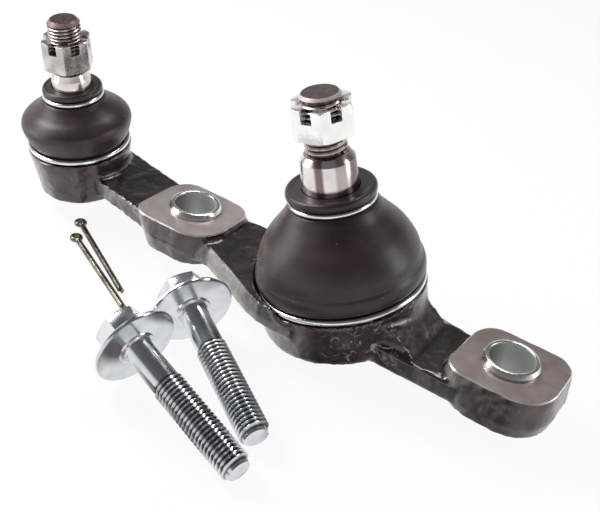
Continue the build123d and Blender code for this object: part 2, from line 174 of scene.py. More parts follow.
class Graph:
    """A node tree that is filled through one method."""

    def __init__(self, owner: bpy.types.Material | bpy.types.World) -> None:
        """Empties the owner's node tree.

        Args:
            owner: The material or world whose nodes are made.
        """
        owner.use_nodes = True
        self.tree = owner.node_tree
        self.tree.nodes.clear()

    def add(self, kind: str, settings: dict | None = None, values: dict | None = None) -> bpy.types.Node:
        """Adds one node.

        Args:
            kind: The node's type.
            settings: Properties that are set first; "stops" fills a colour ramp.
            values: Values or links for input sockets, by name or number.

        Returns:
            The new node.
        """
        node = self.tree.nodes.new(kind)
        for name, value in (settings or {}).items():
            if name == "stops":
                self.fill_ramp(node.color_ramp, value)
            else:
                setattr(node, name, value)
        for name, value in (values or {}).items():
            self.feed(node.inputs[name], value)
        return node

    def feed(self, socket: bpy.types.NodeSocket, value: object) -> None:
        """Links or sets one input socket.

        Args:
            socket: The input socket.
            value: A level or an output socket to link, or a plain value to set.
        """
        if isinstance(value, Level):
            value = value.socket
        if isinstance(value, bpy.types.NodeSocket):
            self.tree.links.new(value, socket)
        else:
            socket.default_value = value

    def vector(self, operation: str, *values: object) -> bpy.types.Node:
        """Adds one Vector Math node.

        Args:
            operation: The node's operation.
            values: Values or links for its inputs, in order.

        Returns:
            The new node.
        """
        return self.add("ShaderNodeVectorMath", {"operation": operation}, dict(enumerate(values)))

    @staticmethod
    def fill_ramp(ramp: bpy.types.ColorRamp, stops: Sequence[tuple[float, Colour]]) -> None:
        """Gives a colour ramp its stops.

        Args:
            ramp: The ramp.
            stops: Each stop's position and colour, in order.
        """
        while len(ramp.elements) < len(stops):
            ramp.elements.new(0.5)
        for element, (position, colour) in zip(ramp.elements, stops):
            element.position = position
            element.color = (*colour, 1.0)


class Recipe(Graph):
    """One material under construction, with its Principled shader."""

    def __init__(self, name: str) -> None:
        """Starts an empty material.

        Args:
            name: The material's name.
        """
        self.material = bpy.data.materials.new(name)
        super().__init__(self.material)
        self.shader = self.add("ShaderNodeBsdfPrincipled")
        self.output = self.add("ShaderNodeOutputMaterial", values={"Surface": self.shader.outputs[0]})
        self.place = self.add("ShaderNodeTexCoord")

    @property
    def point(self) -> bpy.types.NodeSocket:
        """Object coordinates."""
        return self.place.outputs["Object"]

    def along(self, direction: Point, origin: Point = (0.0, 0.0, 0.0)) -> Level:
        """Distance along a direction, in metres.

        Args:
            direction: A unit direction in the model's frame.
            origin: Where the distance is 0.

        Returns:
            The distance at each point of the surface.
        """
        moved = self.vector("SUBTRACT", self.point, origin)
        return Level(self, self.vector("DOT_PRODUCT", moved.outputs[0], direction).outputs["Value"])

    def facing(self, direction: Point) -> Level:
        """How far the surface faces a direction, from -1 to 1.

        Args:
            direction: A unit direction in the model's frame.

        Returns:
            The dot product of the normal and the direction.
        """
        normal = self.place.outputs["Normal"]
        return Level(self, self.vector("DOT_PRODUCT", normal, direction).outputs["Value"])

    def stretched(self, direction: Point, factor: float) -> bpy.types.NodeSocket:
        """Object coordinates with one direction squeezed, so that a pattern runs along it.

        Args:
            direction: The unit direction that the pattern runs along.
            factor: How much longer the pattern is that way.

        Returns:
            The squeezed coordinates.
        """
        step = self.along(direction) * (1.0 / factor - 1.0)
        shift = self.add("ShaderNodeVectorMath", {"operation": "SCALE"}, {0: direction, "Scale": step})
        return self.vector("ADD", self.point, shift.outputs[0]).outputs[0]

    def grain(self, size: float, detail: float = 3.0, where: bpy.types.NodeSocket | None = None,
              rough: float = 0.55, twist: float = 0.0) -> Level:
        """Cloudy noise between 0 and 1.

        Args:
            size: Size of one cloud in millimetres.
            detail: How many finer octaves it has.
            where: The coordinates, or Object coordinates by default.
            rough: How strong the finer octaves are.
            twist: How far the pattern is distorted.

        Returns:
            The noise.
        """
        node = self.add("ShaderNodeTexNoise", {"noise_dimensions": "3D"},
                        {"Vector": where or self.point, "Scale": 1.0 / (size * MM), "Detail": detail,
                         "Roughness": rough, "Distortion": twist})
        return Level(self, node.outputs[0])

    def near(self, middle: Point, radius: float, fade: float) -> Level:
        """Runs from 1 round a point to 0 away from it.

        Args:
            middle: The point in millimetres.
            radius: Where the value is a half, in millimetres.
            fade: Width of the change in millimetres.

        Returns:
            The mask.
        """
        away = self.vector("DISTANCE", self.point, tuple(value * MM for value in middle))
        return 1.0 - Level(self, away.outputs["Value"]).rising(radius * MM, fade * MM)

    def cells(self, size: float) -> Level:
        """Distance to the nearest of a field of scattered points.

        Args:
            size: Mean spacing of the points in millimetres.

        Returns:
            The distance in spacings.
        """
        values = {"Vector": self.point, "Scale": 1.0 / (size * MM)}
        return Level(self, self.add("ShaderNodeTexVoronoi", {"feature": "F1"}, values).outputs["Distance"])

    def mix(self, factor: Level | float, first: Colour | bpy.types.NodeSocket,
            second: Colour | bpy.types.NodeSocket) -> bpy.types.NodeSocket:
        """Blends two colours.

        Args:
            factor: 0 for the first and 1 for the second.
            first: A colour or a colour socket.
            second: A colour or a colour socket.

        Returns:
            The blended colour.
        """
        full = [(*c, 1.0) if isinstance(c, tuple) else c for c in (first, second)]
        node = self.add("ShaderNodeMix", {"data_type": "RGBA", "clamp_factor": True},
                        {0: factor, 6: full[0], 7: full[1]})
        return node.outputs[2]

    def bump(self, height: Level, depth: float, strength: float = 1.0,
             over: bpy.types.NodeSocket | None = None) -> bpy.types.NodeSocket:
        """Tilts the normal by a height.

        Args:
            height: The height, from 0 to 1.
            depth: Millimetres between heights 0 and 1.
            strength: Share of the tilt that is used.
            over: A normal that this bump is laid over.

        Returns:
            The tilted normal.
        """
        values: dict = {"Strength": strength, "Distance": depth * MM, "Height": height}
        if over is not None:
            values["Normal"] = over
        return self.add("ShaderNodeBump", values=values).outputs[0]

    def set(self, **sockets: object) -> None:
        """Sets or links the shader's sockets.

        Args:
            sockets: Levels, sockets, numbers or colours by socket name, with underscores for spaces.
        """
        for name, value in sockets.items():
            if isinstance(value, tuple):
                value = (*value, 1.0)
            self.feed(self.shader.inputs[name.replace("_", " ")], value)


# ------------------------------------------------------------------ finishes
# The materials made so far, by their finish's name.
MADE: dict[str, bpy.types.Material] = {}


@dataclass(frozen=True)
class Finish:
    """A surface finish that makes its own material."""

    name: str

    def material(self) -> bpy.types.Material:
        """Makes the material, once.

        Returns:
            The material of this finish.
        """
        if self.name not in MADE:
            recipe = Recipe(self.name)
            self.paint(recipe)
            MADE[self.name] = recipe.material
        return MADE[self.name]

    def paint(self, recipe: Recipe) -> None:
        """Fills the recipe.

        Args:
            recipe: The material to fill.
        """
        raise NotImplementedError


@dataclass(frozen=True)
class ForgedPaint(Finish):
    """Thin glossy dark coat over a forging: streaked walls, scale, a scarred patch of trimmed flash, and a
    pale painted reflection on the walls that face the lit side.

    The scar is a ball round the trimmed flash, and the sizes of the patterns are in millimetres.
    """

    coat: Colour = (0.030, 0.021, 0.020)
    coat_high: Colour = (0.100, 0.080, 0.076)
    bare: Colour = (0.62, 0.56, 0.54)
    painted_sheen_colour: Colour = (0.42, 0.405, 0.395)
    metallic: float = 0.8
    scar: Point = (60.0, 6.0, 19.0)
    scar_r: float = 12.0
    cloud: float = 8.0
    worn_spot: float = 2.0
    streak: float = 0.9
    streak_run: float = 12.0
    scale: float = 1.6
    scale_depth: float = 0.16
    fold: float = 8.0
    fold_sharpness: float = 34.0
    fold_depth: float = 0.7

    def paint(self, recipe: Recipe) -> None:
        """Fills the recipe.

        Args:
            recipe: The material to fill.
        """
        wall = 1.0 - abs(recipe.facing(UP)).rising(0.55, 0.5)
        clouds = recipe.grain(self.cloud, 4.0)
        wear = recipe.grain(self.worn_spot, 4.0, rough=0.65)
        streaks = recipe.grain(self.streak, 3.0, where=recipe.stretched(UP, self.streak_run), rough=0.6)
        scale = recipe.grain(self.scale, 3.0, rough=0.6, twist=0.4)
        patches = recipe.grain(5.0, 2.0).rising(0.5, 0.2)
        scar = recipe.near(self.scar, self.scar_r, self.scar_r * 0.8) * patches
        torn = recipe.grain(self.fold, 2.0, rough=0.45, twist=1.2)
        folds = abs(torn - 0.5).math("MULTIPLY_ADD", -self.fold_sharpness, 1.0, clamp=True)
        colour = recipe.mix(clouds.rising(0.5, 0.45), self.coat, self.coat_high)
        rubbed = streaks.rising(0.72, 0.10) * wall * 0.5 + folds * scar + wear.rising(0.74, 0.06) * 0.3
        # Painted reflection: walls facing the lit side turn pale and less metallic, standing in for the
        # bright floor they would reflect.
        painted_sheen = recipe.facing(PAINTED_LIGHT_SIDE).rising(0.62, 0.5) * wall * (0.5 + streaks.rising(0.5, 0.5) * 0.5)
        colour = recipe.mix(rubbed, colour, self.bare)
        colour = recipe.mix(painted_sheen, colour, self.painted_sheen_colour)
        skin = recipe.bump(scale * 0.7 + streaks * wall * 0.3, self.scale_depth, 0.6)
        skin = recipe.bump(folds * scar, self.fold_depth, 0.7, over=skin)
        recipe.set(Base_Color=colour, Roughness=0.20 + wear * 0.18 + streaks * wall * 0.12,
                   Metallic=(1.0 - painted_sheen) * self.metallic, Coat_Weight=0.7, Coat_Roughness=0.14, Coat_IOR=1.5,
                   Normal=skin)


@dataclass(frozen=True)
class MilledFace(Finish):
    """Milled or cut steel under a trace of the coat."""

    face: Colour = (0.42, 0.355, 0.335)
    face_low: Colour = (0.30, 0.245, 0.23)
    metallic: float = 0.75
    rough: float = 0.36
    line: float = 0.3
    line_run: float = 40.0
    line_depth: float = 0.02
    feed: Point = (0.94, 0.34, 0.0)

    def paint(self, recipe: Recipe) -> None:
        """Fills the recipe.

        Args:
            recipe: The material to fill.
        """
        clouds = recipe.grain(7.0, 4.0).rising(0.5, 0.45)
        lines = recipe.grain(self.line, 3.0, where=recipe.stretched(self.feed, self.line_run))
        spots = recipe.grain(1.2, 3.0).rising(0.68, 0.1) * 0.4
        colour = recipe.mix(clouds, self.face, self.face_low)
        colour = recipe.mix(spots, colour, self.face_low)
        recipe.set(Base_Color=colour, Metallic=self.metallic,
                   Roughness=self.rough + lines * 0.12 - clouds * 0.06,
                   Normal=recipe.bump(lines, self.line_depth, 0.6))


@dataclass(frozen=True)
class Metal(Finish):
    """Bare or plated steel.

    Each band is a painted reflection stripe, a tint on what faces `side` between two shares. A scratch depth
    of 0 leaves the surface polished.
    """

    bright: Colour = (0.75, 0.75, 0.74)
    dull: Colour = (0.55, 0.55, 0.54)
    rough: float = 0.2
    rough_spread: float = 0.12
    cloud: float = 6.0
    scratch: float = 0.5
    scratch_depth: float = 0.003
    side: Point = PAINTED_LIGHT_SIDE
    painted_reflection_bands: tuple[PaintedReflectionBand, ...] = ()
    band_edge: float = 0.09
    band_strength: float = 0.9

    def paint(self, recipe: Recipe) -> None:
        """Fills the recipe.

        Args:
            recipe: The material to fill.
        """
        clouds = recipe.grain(self.cloud, 1.5, rough=0.45)
        colour = recipe.mix(clouds.rising(0.5, 0.35), self.bright, self.dull)
        # Painted reflection stripes: light and dark tints by the way the surface faces.
        for low, high, tint in self.painted_reflection_bands:
            turned = recipe.facing(self.side)
            share = turned.rising(low, self.band_edge) * (1.0 - turned.rising(high, self.band_edge))
            colour = recipe.mix(share * self.band_strength, colour, tint)
        smudge = recipe.grain(self.cloud * 0.6, 1.0).rising(0.5, 0.6)
        recipe.set(Base_Color=colour, Metallic=1.0, Roughness=self.rough + smudge * self.rough_spread)
        if self.scratch_depth > 0.0:
            recipe.set(Normal=recipe.bump(recipe.grain(self.scratch, 3.0), self.scratch_depth, 0.7))


@dataclass(frozen=True)
class ThreadedMetal(Metal):
    """Plated or bright steel whose thread is darker towards its root.

    The axis and the origin, which is in metres, are the thread's, and start and end are heights along it.
    """

    axis: Point = UP
    origin: Point = (0.0, 0.0, 0.0)
    root: Colour = (0.03, 0.022, 0.02)
    root_r: float = 5.0
    crest_r: float = 6.0
    start: float = 0.0
    end: float = 100.0
    dirt: float = 0.9

    @classmethod
    def cut_in(cls, metal: Metal, name: str, place: Matrix, **sizes: float) -> ThreadedMetal:
        """Makes the finish of a thread in one metal.

        Args:
            metal: The metal.
            name: The new finish's name.
            place: The thread's frame, Z along it, in metres.
            sizes: The thread's own sizes.

        Returns:
            The finish.
        """
        return cls(name, bright=metal.bright, dull=metal.dull, rough=metal.rough, cloud=metal.cloud,
                   axis=tuple(place.col[2].xyz), origin=tuple(place.translation), **sizes)

    def paint(self, recipe: Recipe) -> None:
        """Fills the recipe.

        Args:
            recipe: The material to fill.
        """
        super().paint(recipe)
        away = recipe.vector("SUBTRACT", recipe.point, self.origin).outputs[0]
        along = recipe.vector("PROJECT", away, self.axis).outputs[0]
        across = recipe.vector("DISTANCE", away, along)
        depth = self.crest_r - self.root_r
        middle, width = self.root_r + depth * 0.38, depth * 0.6
        deep = 1.0 - Level(recipe, across.outputs["Value"]).rising(middle * MM, width * MM)
        height = recipe.along(self.axis, self.origin)
        deep = deep * height.rising(self.start * MM, 0.5 * MM)
        deep = deep * (1.0 - height.rising(self.end * MM, 0.3 * MM))
        plain = recipe.shader.inputs["Base Color"].links[0].from_socket
        recipe.set(Base_Color=recipe.mix(deep * self.dirt, plain, self.root))


@dataclass(frozen=True)
class BootRubber(Finish):
    """Satin moulded rubber with a bloom, specks of dust, and a pale painted sheen on the walls facing towards
    and away from the lit side.
    """

    body: Colour = (0.020, 0.0098, 0.0094)
    bloom: Colour = (0.047, 0.028, 0.027)
    dust_and_sheen: Colour = (0.30, 0.25, 0.24)
    cloud: float = 14.0
    speck_gap: float = 2.6
    rough: float = 0.31
    skin_depth: float = 0.008

    def paint(self, recipe: Recipe) -> None:
        """Fills the recipe.

        Args:
            recipe: The material to fill.
        """
        clouds = recipe.grain(self.cloud, 3.0)
        colour = recipe.mix(clouds.rising(0.55, 0.5), self.body, self.bloom)
        keep = recipe.grain(6.0, 2.0).rising(0.62, 0.1)
        specks = (1.0 - recipe.cells(self.speck_gap).rising(0.09, 0.05)) * keep
        colour = recipe.mix(specks * 0.8, colour, self.dust_and_sheen)
        # Painted highlight: a pale sheen on walls facing towards and away from the lit side.
        painted_sheen = abs(recipe.facing(PAINTED_LIGHT_SIDE)).rising(0.90, 0.16) * recipe.grain(5.0, 3.0).rising(0.45, 0.3)
        colour = recipe.mix(painted_sheen * 0.45, colour, self.dust_and_sheen)
        skin = recipe.grain(0.6, 4.0)
        recipe.set(Base_Color=colour, Roughness=self.rough + clouds * 0.14,
                   Normal=recipe.bump(skin, self.skin_depth, 0.5))


@dataclass(frozen=True)
class MouldedPlastic(Finish):
    """Plain moulded acetal."""

    body: Colour = (0.78, 0.77, 0.71)

    def paint(self, recipe: Recipe) -> None:
        """Fills the recipe.

        Args:
            recipe: The material to fill.
        """
        clouds = recipe.grain(4.0, 3.0)
        darker = tuple(c * 0.86 for c in self.body)
        recipe.set(Base_Color=recipe.mix(clouds, self.body, darker), Roughness=0.35 + clouds * 0.15,
                   Normal=recipe.bump(recipe.grain(0.4, 3.0), 0.02, 0.5))


@dataclass(frozen=True)
class SleeveSteel(Finish):
    """Bright turned sleeve with a duller bore, and painted shade in the bore on the walls that face away from
    the lit side.
    """

    axis_xy: tuple[float, float] = (0.0, 0.0)
    bore_r: float = 8.7
    bright: Colour = (0.78, 0.77, 0.76)
    bore: Colour = (0.60, 0.62, 0.58)
    bore_painted_shade: Colour = (0.12, 0.125, 0.12)

    def paint(self, recipe: Recipe) -> None:
        """Fills the recipe.

        Args:
            recipe: The material to fill.
        """
        x = recipe.along((1.0, 0.0, 0.0), (self.axis_xy[0] * MM, 0.0, 0.0))
        y = recipe.along((0.0, 1.0, 0.0), (0.0, self.axis_xy[1] * MM, 0.0))
        radius = (x * x + y * y) ** 0.5
        inside = 1.0 - radius.rising((self.bore_r + 0.12) * MM, 0.08 * MM)
        marks = recipe.grain(0.3, 2.0, where=recipe.stretched(UP, 0.08))
        clouds = recipe.grain(3.0, 3.0)
        # Painted shade: bore walls facing away from the lit side are darkened.
        shade = (1.0 - recipe.facing(PAINTED_LIGHT_SIDE).rising(-0.45, 0.7)) * inside
        colour = recipe.mix(inside, self.bright, self.bore)
        colour = recipe.mix(shade * 0.75, colour, self.bore_painted_shade)
        recipe.set(Base_Color=colour, Metallic=1.0 - inside * 0.4,
                   Roughness=0.16 + inside * 0.3 + clouds * 0.08, Normal=recipe.bump(marks, 0.015, 0.7))


FORGED_COAT = ForgedPaint("forged_paint")
END_FACE = MilledFace("end_milled_face")
MIDDLE_FACE = MilledFace("middle_milled_face", face=(0.56, 0.50, 0.48), face_low=(0.42, 0.36, 0.35))
FACE_EDGE = MilledFace("milled_edge", face=(0.74, 0.70, 0.68), face_low=(0.6, 0.55, 0.53), rough=0.3)
RUBBER = BootRubber("moulded_rubber")
ACETAL = MouldedPlastic("seat_acetal")
WIRE = Metal("bright_wire", bright=(0.86, 0.86, 0.85), dull=(0.74, 0.74, 0.73), rough=0.14, rough_spread=0.08)
STUD = Metal("ground_stud", bright=(0.78, 0.73, 0.71), dull=(0.62, 0.56, 0.54), rough=0.10, scratch_depth=0.0)
THREAD = Metal("stud_thread", bright=(0.66, 0.58, 0.55), dull=(0.44, 0.37, 0.35), rough=0.2, cloud=2.0)
# The large stud's bands are painted reflection stripes: a dark red, a pale and a dark tint on the taper by
# the way it faces.
LARGE_STUD = Metal(
    "large_ground_stud", bright=(0.84, 0.80, 0.79), dull=(0.74, 0.69, 0.68), rough=0.12, scratch_depth=0.0,
    side=(-0.859, -0.441, -0.259),
    painted_reflection_bands=((0.09, 0.38, (0.17, 0.085, 0.085)), (-0.70, -0.34, (0.46, 0.38, 0.37)),
           (-1.2, -0.76, (0.16, 0.11, 0.11))))
CHAMFER = MilledFace("stud_chamfer", face=(0.62, 0.50, 0.48), face_low=(0.46, 0.36, 0.35), metallic=0.35,
                     rough=0.45)
DARK_CHAMFER = MilledFace("dark_chamfer", face=(0.27, 0.20, 0.19), face_low=(0.18, 0.13, 0.125),
                          metallic=0.35)
STUD_END = Metal("stud_end", bright=(0.16, 0.115, 0.11), dull=(0.09, 0.062, 0.06), rough=0.32, cloud=3.0)
NUT = Metal("bright_zinc", bright=(1.0, 1.0, 0.99), dull=(0.90, 0.90, 0.89), rough=0.22, scratch_depth=0.0)
NUT_GREY = Metal("grey_zinc", bright=(0.72, 0.70, 0.68), dull=(0.46, 0.44, 0.43), rough=0.2, cloud=5.0,
                 scratch_depth=0.0)
BOLT = Metal("bolt_zinc", bright=(0.80, 0.81, 0.83), dull=(0.60, 0.64, 0.68), rough=0.11, cloud=9.0)
PIN = Metal("pin_wire", bright=(0.24, 0.215, 0.165), dull=(0.08, 0.066, 0.05), rough=0.2, cloud=4.0,
            scratch_depth=0.0)
SPRING = Metal("blued_steel", bright=(0.30, 0.31, 0.34), dull=(0.18, 0.19, 0.22), rough=0.3)
PLUG = Metal("pressed_plug", bright=(0.50, 0.50, 0.49), dull=(0.36, 0.36, 0.36), rough=0.34)


# ------------------------------------------------------------------ modelling
class Bench:
    """Modelling steps shared by the pieces, each done with Blender's own operators."""

    @staticmethod
    def clear() -> None:
        """Leaves edit mode and deselects everything."""
        if bpy.context.object is not None and bpy.context.object.mode != "OBJECT":
            bpy.ops.object.mode_set(mode="OBJECT")
        bpy.ops.object.select_all(action="DESELECT")

    @staticmethod
    def pick(obj: bpy.types.Object) -> None:
        """Selects one object alone and makes it active.

        Args:
            obj: The object.
        """
        Bench.clear()
        obj.select_set(True)
        bpy.context.view_layer.objects.active = obj

    @staticmethod
    def choose(obj: bpy.types.Object, chosen: Callable[[bpy.types.MeshPolygon], bool]) -> None:
        """Enters edit mode with some faces selected.

        Args:
            obj: The object.
            chosen: Says whether a face is selected.
        """
        Bench.pick(obj)
        bpy.context.tool_settings.mesh_select_mode = (False, False, True)
        bpy.ops.object.mode_set(mode="EDIT")
        bpy.ops.mesh.select_all(action="DESELECT")
        bpy.ops.object.mode_set(mode="OBJECT")
        for polygon in obj.data.polygons:
            polygon.select = chosen(polygon)
        bpy.ops.object.mode_set(mode="EDIT")

    @staticmethod
    def lathe(name: str, outline: Outline, segments: int = 96, closed: bool = False) -> bpy.types.Object:
        """Turns an outline about Z by extruding and scaling a circle along it.

        Args:
            name: The piece's name.
            outline: Radius and height of each point, in millimetres and in order.
            segments: Facets round the axis.
            closed: Whether the last point joins the first; otherwise both ends are capped.

        Returns:
            The turned piece, still in its own frame, in metres.
        """
        Bench.clear()
        bpy.context.tool_settings.mesh_select_mode = (True, False, False)
        weld = 0.01
        radius, height = outline[0]
        bpy.ops.mesh.primitive_circle_add(vertices=segments, radius=radius * MM, location=(0, 0, height * MM))
        obj = bpy.context.object
        obj.name = obj.data.name = name
        bpy.ops.object.mode_set(mode="EDIT")
        if not closed:
            bpy.ops.mesh.edge_face_add()
        for next_radius, next_height in outline[1:]:
            rise = (0, 0, (next_height - height) * MM)
            bpy.ops.mesh.extrude_region_move(TRANSFORM_OT_translate={"value": rise})
            if next_radius != radius:
                k = next_radius / radius
                bpy.ops.transform.resize(value=(k, k, 1), center_override=(0, 0, next_height * MM))
            radius, height = next_radius, next_height
        bpy.ops.mesh.select_all(action="SELECT")
        if closed:
            bpy.ops.mesh.remove_doubles(threshold=weld * MM)
        bpy.ops.mesh.normals_make_consistent(inside=False)
        bpy.ops.object.mode_set(mode="OBJECT")
        return obj

    @staticmethod
    def apply(obj: bpy.types.Object, kind: str, **settings: object) -> None:
        """Adds a modifier and applies it.

        Args:
            obj: The object.
            kind: The modifier's type.
            settings: The modifier's settings.
        """
        Bench.pick(obj)
        modifier = obj.modifiers.new(kind.lower(), kind)
        for name, value in settings.items():
            setattr(modifier, name, value)
        bpy.ops.object.modifier_apply(modifier=modifier.name)

    @staticmethod
    def soften(obj: bpy.types.Object, width: float, segments: int, angle: float) -> None:
        """Rounds a piece's edges.

        Args:
            obj: The piece.
            width: The rounding's width in millimetres.
            segments: Facets across it.
            angle: The angle in degrees past which an edge is rounded.
        """
        Bench.apply(obj, "BEVEL", width=width * MM, segments=segments, limit_method="ANGLE",
                    angle_limit=math.radians(angle))

    @staticmethod
    def carve(obj: bpy.types.Object, cutter: bpy.types.Object, cut: Cut = Cut.AWAY) -> None:
        """Cuts, joins or intersects one closed piece with another, which is then deleted.

        Args:
            obj: The piece that stays.
            cutter: The piece that is used up.
            cut: What is left of the two.
        """
        Bench.apply(obj, "BOOLEAN", object=cutter, operation=cut.value, solver="EXACT")
        bpy.data.objects.remove(cutter, do_unlink=True)

    @staticmethod
    def thread(name: str, major: float, depth: float, pitch: float, start: float, end: float,
               steps: int = 48) -> bpy.types.Object:
        """Makes a V-shaped helical ridge about Z with ends that run out.

        Args:
            name: The piece's name.
            major: Radius of the crest, in millimetres.
            depth: Height of the ridge above the core.
            pitch: Rise of one turn.
            start: Where the ridge starts.
            end: Where it has ended.
            steps: Facets of one turn.

        Returns:
            The closed ridge, whose foot lies a little inside the core.
        """
        Bench.clear()
        sink, foot_share, crest_share = 0.15, 0.49, 0.07
        foot = major - depth - sink
        bpy.ops.mesh.primitive_plane_add(size=1.0, location=(0, 0, 0))
        obj = bpy.context.object
        obj.name = obj.data.name = name
        half_foot, half_crest = pitch * foot_share, pitch * crest_share
        corners = ((foot, -half_foot), (major, -half_crest), (foot, half_foot), (major, half_crest))
        for vertex, (radius, height) in zip(obj.data.vertices, corners):
            vertex.co = (radius * MM, 0, (start + pitch / 2 + height) * MM)
        turns = max(1, int((end - start) / pitch) - 1)
        Bench.apply(obj, "SCREW", axis="Z", angle=2 * math.pi, screw_offset=pitch * MM, iterations=turns,
                    steps=steps, render_steps=steps, use_merge_vertices=False, use_smooth_shade=False)
        Bench.pick(obj)
        bpy.ops.object.mode_set(mode="EDIT")
        bpy.ops.mesh.select_all(action="DESELECT")
        bpy.ops.mesh.select_mode(type="EDGE")
        bpy.ops.mesh.select_non_manifold(extend=False)
        bpy.ops.mesh.fill()
        bpy.ops.mesh.select_all(action="SELECT")
        bpy.ops.mesh.normals_make_consistent(inside=False)
        bpy.ops.object.mode_set(mode="OBJECT")
        return obj

    @staticmethod
    def join(name: str, pieces: Sequence[bpy.types.Object]) -> bpy.types.Object:
        """Joins pieces into one object.

        Args:
            name: The joined piece's name.
            pieces: The pieces, whose material slots are kept.

        Returns:
            The joined piece.
        """
        Bench.pick(pieces[0])
        for piece in pieces:
            piece.select_set(True)
        bpy.ops.object.join()
        joined = bpy.context.object
        joined.name = joined.data.name = name
        return joined

    @staticmethod
    def lay(obj: bpy.types.Object, place: Matrix) -> None:
        """Moves a piece to its place and leaves its object at the origin.

        Args:
            obj: The piece, built in its own frame.
            place: That frame in the model's frame, in metres.
        """
        obj.matrix_world = place @ obj.matrix_world
        Bench.pick(obj)
        bpy.ops.object.transform_apply(location=True, rotation=True, scale=True)

    @staticmethod
    def smooth(obj: bpy.types.Object, angle: float = 35.0) -> None:
        """Shades a piece smooth up to an edge angle.

        Args:
            obj: The piece.
            angle: The angle in degrees.
        """
        Bench.pick(obj)
        bpy.ops.object.shade_smooth_by_angle(angle=math.radians(angle))

    @staticmethod
    def dress(obj: bpy.types.Object, finish: Finish) -> None:
        """Gives a whole piece one finish.

        Args:
            obj: The piece.
            finish: The finish.
        """
        obj.data.materials.clear()
        obj.data.materials.append(finish.material())

    @staticmethod
    def dress_faces(obj: bpy.types.Object, finish: Finish, chosen: Callable[[Vector], bool]) -> None:
        """Gives some faces of a piece another finish.

        Args:
            obj: The piece, before it is laid.
            finish: The finish.
            chosen: Says whether the face with this middle takes it, in millimetres in the piece's own frame.
        """
        obj.data.materials.append(finish.material())
        slot = len(obj.data.materials) - 1
        bpy.context.view_layer.update()
        for face in obj.data.polygons:
            if chosen(obj.matrix_world @ face.center / MM):
                face.material_index = slot

    @staticmethod
    def report(obj: bpy.types.Object) -> None:
        """Logs a finished piece and how many faces it has."""
        LOG.info("%s: %d faces", obj.name, len(obj.data.polygons))

    @staticmethod
    def dress_node(node: str, finish: Finish) -> None:
        """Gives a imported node, whose shape stays, one finish.

        Args:
            node: The node.
            finish: The finish.
        """
        piece = FRAME["nodes"][node]
        Bench.dress(piece, finish)
        Bench.report(piece)

    @staticmethod
    def copy_node(node: str, name: str) -> bpy.types.Object:
        """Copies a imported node's mesh into a new piece, with its corners and level triangles merged.

        Args:
            node: The node.
            name: The new piece's name.

        Returns:
            The copy.
        """
        merge, level_angle = 0.002, 0.5
        source = FRAME["nodes"][node]
        obj = bpy.data.objects.new(name, source.data.copy())
        obj.data.name = name
        bpy.context.scene.collection.objects.link(obj)
        Bench.pick(obj)
        bpy.ops.object.mode_set(mode="EDIT")
        bpy.ops.mesh.select_all(action="SELECT")
        bpy.ops.mesh.remove_doubles(threshold=merge * MM)
        bpy.ops.mesh.dissolve_limited(angle_limit=math.radians(level_angle))
        bpy.ops.object.mode_set(mode="OBJECT")
        return obj


def frame_at(origin: Vector, x: Vector, z: Vector) -> Matrix:
    """Makes a frame from its origin and two of its unit directions.

    Args:
        origin: Its origin, in metres.
        x: Its X direction.
        z: Its Z direction, at right angles to X.

    Returns:
        The frame.
    """
    frame = Matrix((x, z.cross(x), z)).transposed().to_4x4()
    frame.translation = origin
    return frame


def curve_through(points: Outline, steps: int) -> list[tuple[float, float]]:
    """Rounds an outline by a smooth curve through its points.

    Args:
        points: Radius and height of the points.
        steps: New points for each stretch.

    Returns:
        The denser outline.
    """
    ends = [points[0], *points, points[-1]]
    made: list[tuple[float, float]] = []
    for a, b, c, d in zip(ends, ends[1:], ends[2:], ends[3:]):
        for k in range(steps):
            t = k / steps
            made.append(tuple(
                0.5 * (2 * q + (r - p) * t + (2 * p - 5 * q + 4 * r - s) * t * t
                       + (3 * q - p - 3 * r + s) * t ** 3)
                for p, q, r, s in zip(a, b, c, d)))
    made.append(points[-1])
    return made


